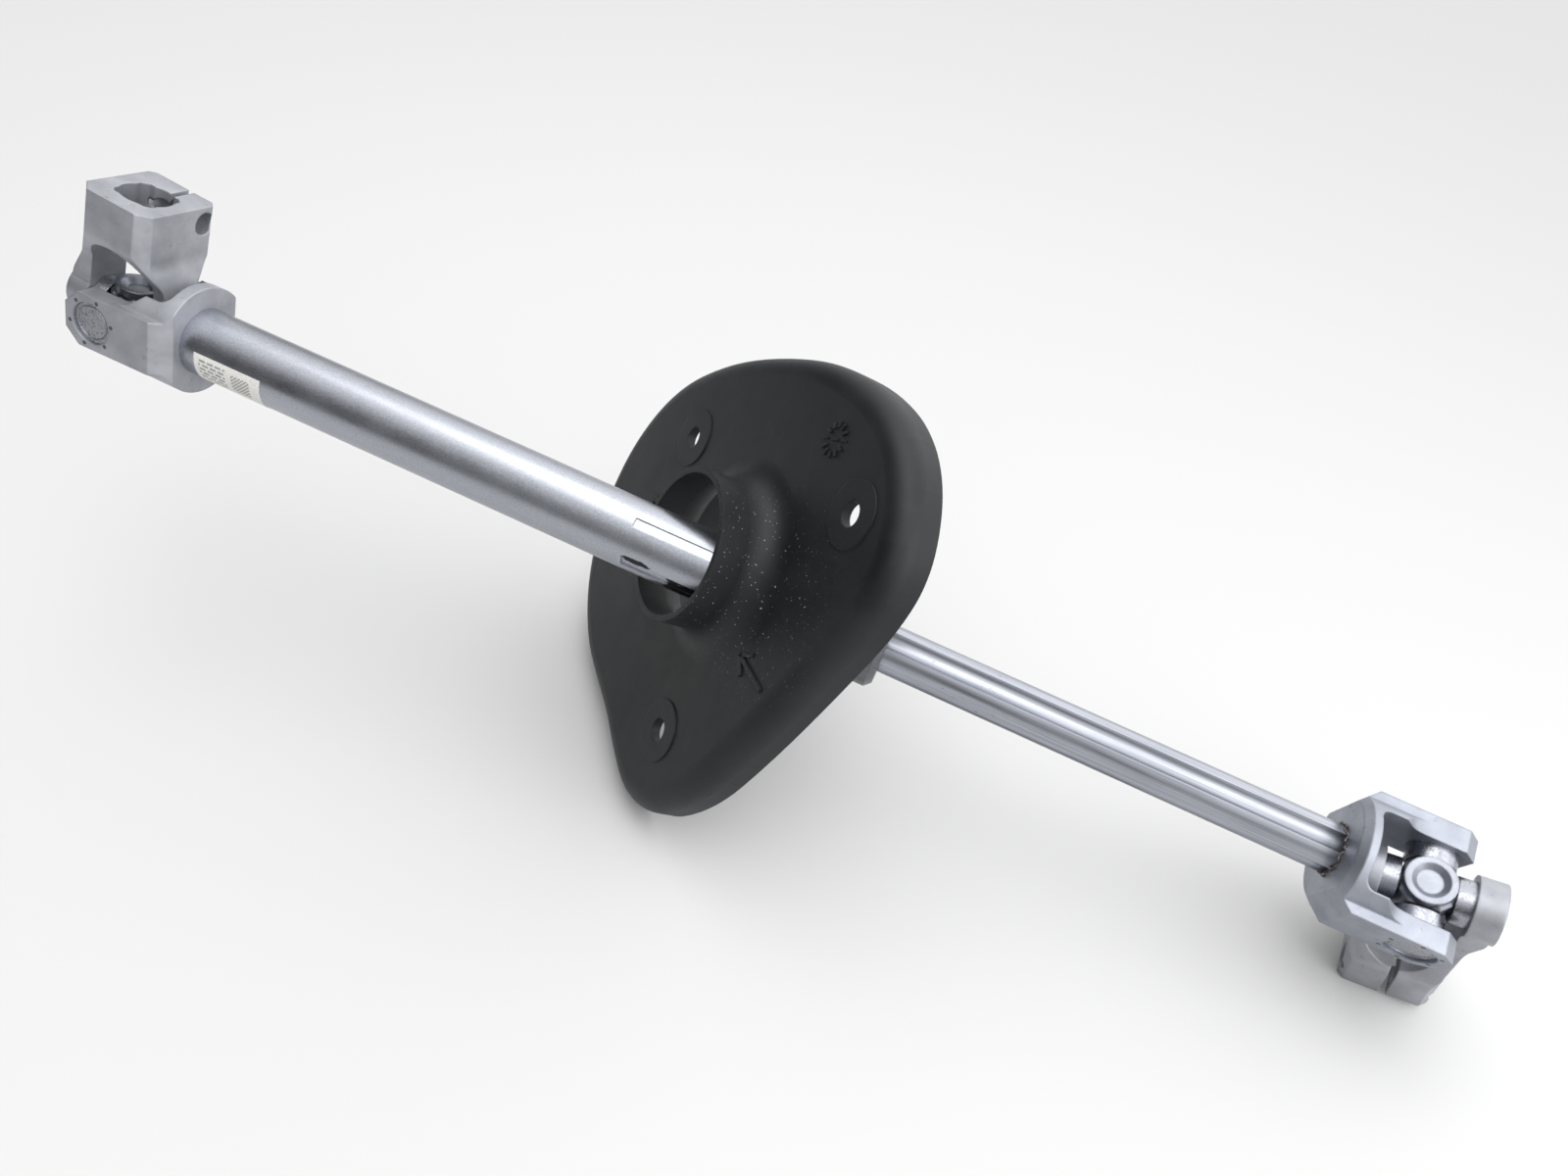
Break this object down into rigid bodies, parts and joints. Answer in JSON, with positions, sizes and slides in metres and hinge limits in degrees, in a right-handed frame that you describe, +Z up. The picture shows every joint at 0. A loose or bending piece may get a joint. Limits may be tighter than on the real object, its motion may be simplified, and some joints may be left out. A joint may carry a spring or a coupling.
{
  "type": "intermediate steering shaft",
  "caption": "Telescopic steering shaft with a cardan joint and clamp yoke at each end, and a lobed rubber bulkhead boot threaded on its tube.",
  "frame": {"origin": "on the ground, below the centre of the assembly's box", "axes": "+X runs along the shaft from the end with the tube to the end with the inner shaft, +Z up as it rests on the boot's rim and the lower clamp yoke"},
  "size_m": [0.5478, 0.1602, 0.1864],
  "materials": {
    "tube_zinc": "satin zinc-plated drawn tube",
    "yoke_grey": "forged steel with a matt silver-grey coating",
    "fork_bright": "forged steel, satin",
    "shaft_steel": "cold-drawn steel, bright",
    "cap_steel": "pressed steel, satin",
    "hard_steel": "hardened and ground",
    "glide_nylon": "moulded nylon",
    "cross_steel": "forged steel, matt, ground journals",
    "cup_steel": "drawn steel, lightly pitted",
    "seal_rubber": "matt black rubber",
    "label_paper": "white paper label",
    "boot_rubber": "matt black moulded rubber"
  },
  "bodies": {
    "tube": {"outer_tube": "tube_zinc", "upper_tube_yoke": "yoke_grey", "upper_tube_yoke_cups": "cup_steel", "upper_tube_yoke_needles": "hard_steel", "upper_tube_yoke_seals": "seal_rubber", "glide_sleeve": "glide_nylon", "tube_end_cap": "cap_steel", "wiper_seal": "seal_rubber", "tube_label": "label_paper", "rubber_boot": "boot_rubber"},
    "upper_cross": {"upper_cross": "cross_steel"},
    "upper_clamp": {"upper_clamp_yoke": "yoke_grey", "upper_clamp_yoke_cups": "cup_steel", "upper_clamp_yoke_needles": "hard_steel", "upper_clamp_yoke_seals": "seal_rubber"},
    "shaft": {"inner_shaft": "shaft_steel", "stop_ring": "hard_steel", "lower_shaft_yoke": "fork_bright", "lower_shaft_yoke_cups": "cup_steel", "lower_shaft_yoke_needles": "hard_steel", "lower_shaft_yoke_seals": "seal_rubber"},
    "lower_cross": {"lower_cross": "cross_steel"},
    "lower_clamp": {"lower_clamp_yoke": "yoke_grey", "lower_clamp_yoke_cups": "cup_steel", "lower_clamp_yoke_needles": "hard_steel", "lower_clamp_yoke_seals": "seal_rubber"}
  },
  "joints": [
    {"name": "upper_fold", "type": "hinge", "parent": "tube", "child": "upper_cross", "pos_m": [-0.2497, -0.02524, 0.13582], "axis": [0.0411, -0.9693, 0.2424], "range_deg": [0, 190]},
    {"name": "upper_swing", "type": "hinge", "parent": "upper_cross", "child": "upper_clamp", "pos_m": [-0.2497, -0.02524, 0.13582], "axis": [0.9659, -0.0236, -0.2578], "range_deg": [-11, 11]},
    {"name": "shaft_slide", "type": "slide", "parent": "tube", "child": "shaft", "axis": [0.986, 0, -0.167], "range_m": [-0.03, 0.036]},
    {"name": "lower_fold", "type": "hinge", "parent": "shaft", "child": "lower_cross", "pos_m": [0.25018, -0.02524, 0.05114], "axis": [-0.0619, -0.9287, -0.3656], "range_deg": [-23, 167]},
    {"name": "lower_swing", "type": "hinge", "parent": "lower_cross", "child": "lower_clamp", "pos_m": [0.25018, -0.02524, 0.05114], "axis": [0.9856, -0.1146, 0.1241], "range_deg": [-3, 21]}
  ]
}
